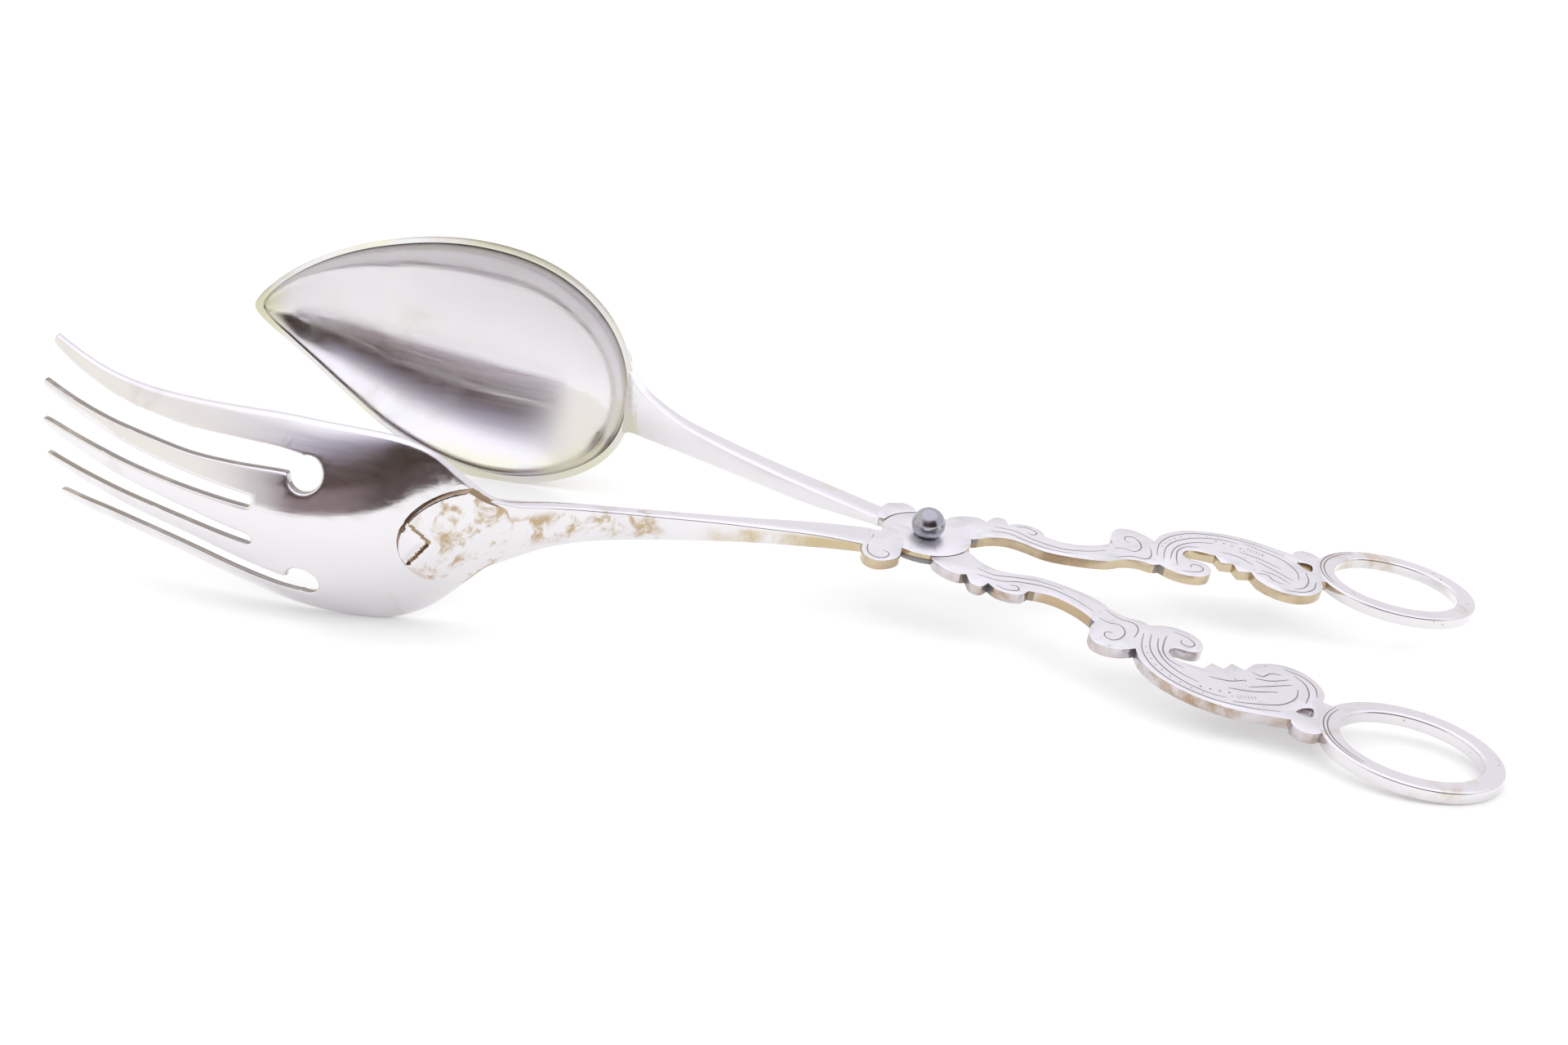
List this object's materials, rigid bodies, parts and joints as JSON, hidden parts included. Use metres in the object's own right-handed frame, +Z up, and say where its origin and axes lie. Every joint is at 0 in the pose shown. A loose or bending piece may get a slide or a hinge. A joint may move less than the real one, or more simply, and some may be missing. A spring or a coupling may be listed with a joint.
{
  "type": "serving tongs",
  "caption": "Scissor-action silver serving tongs: a tined fork and a deep spoon on crossed arms, with pierced scroll handles and oval finger rings on a ball-headed pivot.",
  "frame": {"origin": "on the table under the middle of the whole object", "axes": "+X from the jaws to the finger rings, +Y towards the spoon, +Z up, with the tongs lying on the bowl's rim, the fork's edge and one finger ring"},
  "size_m": [0.2796, 0.1072, 0.0569],
  "materials": {
    "bowl_silver": "polished sterling silver, lightly scratched and tarnished at the rim",
    "fork_silver": "polished sterling silver, worn",
    "stem_silver": "polished sterling silver, lightly worn",
    "tarnished_silver": "worn silver with yellow-brown tarnish",
    "engraved_silver": "engraved silver, darkened in the cuts",
    "ring_silver": "polished silver, pitted",
    "pivot_steel": "bright dark polished metal"
  },
  "bodies": {
    "fork_arm": {"fork_blade": "fork_silver", "fork_heel_drop": "tarnished_silver", "fork_stem": "tarnished_silver", "fork_handle": "engraved_silver", "fork_finger_ring": "ring_silver", "pivot_ball": "pivot_steel", "pivot_pin": "pivot_steel", "pivot_washer": "ring_silver", "pivot_nut": "pivot_steel"},
    "spoon_arm": {"spoon_bowl": "bowl_silver", "spoon_heel_drop": "tarnished_silver", "spoon_stem": "stem_silver", "spoon_handle": "engraved_silver", "spoon_finger_ring": "ring_silver"}
  },
  "joints": [
    {"name": "pivot", "type": "hinge", "parent": "fork_arm", "child": "spoon_arm", "pos_m": [0.0304, 0.00629, 0.01531], "axis": [0.0916, -0.1011, 0.9907], "range_deg": [-24, 21]}
  ]
}
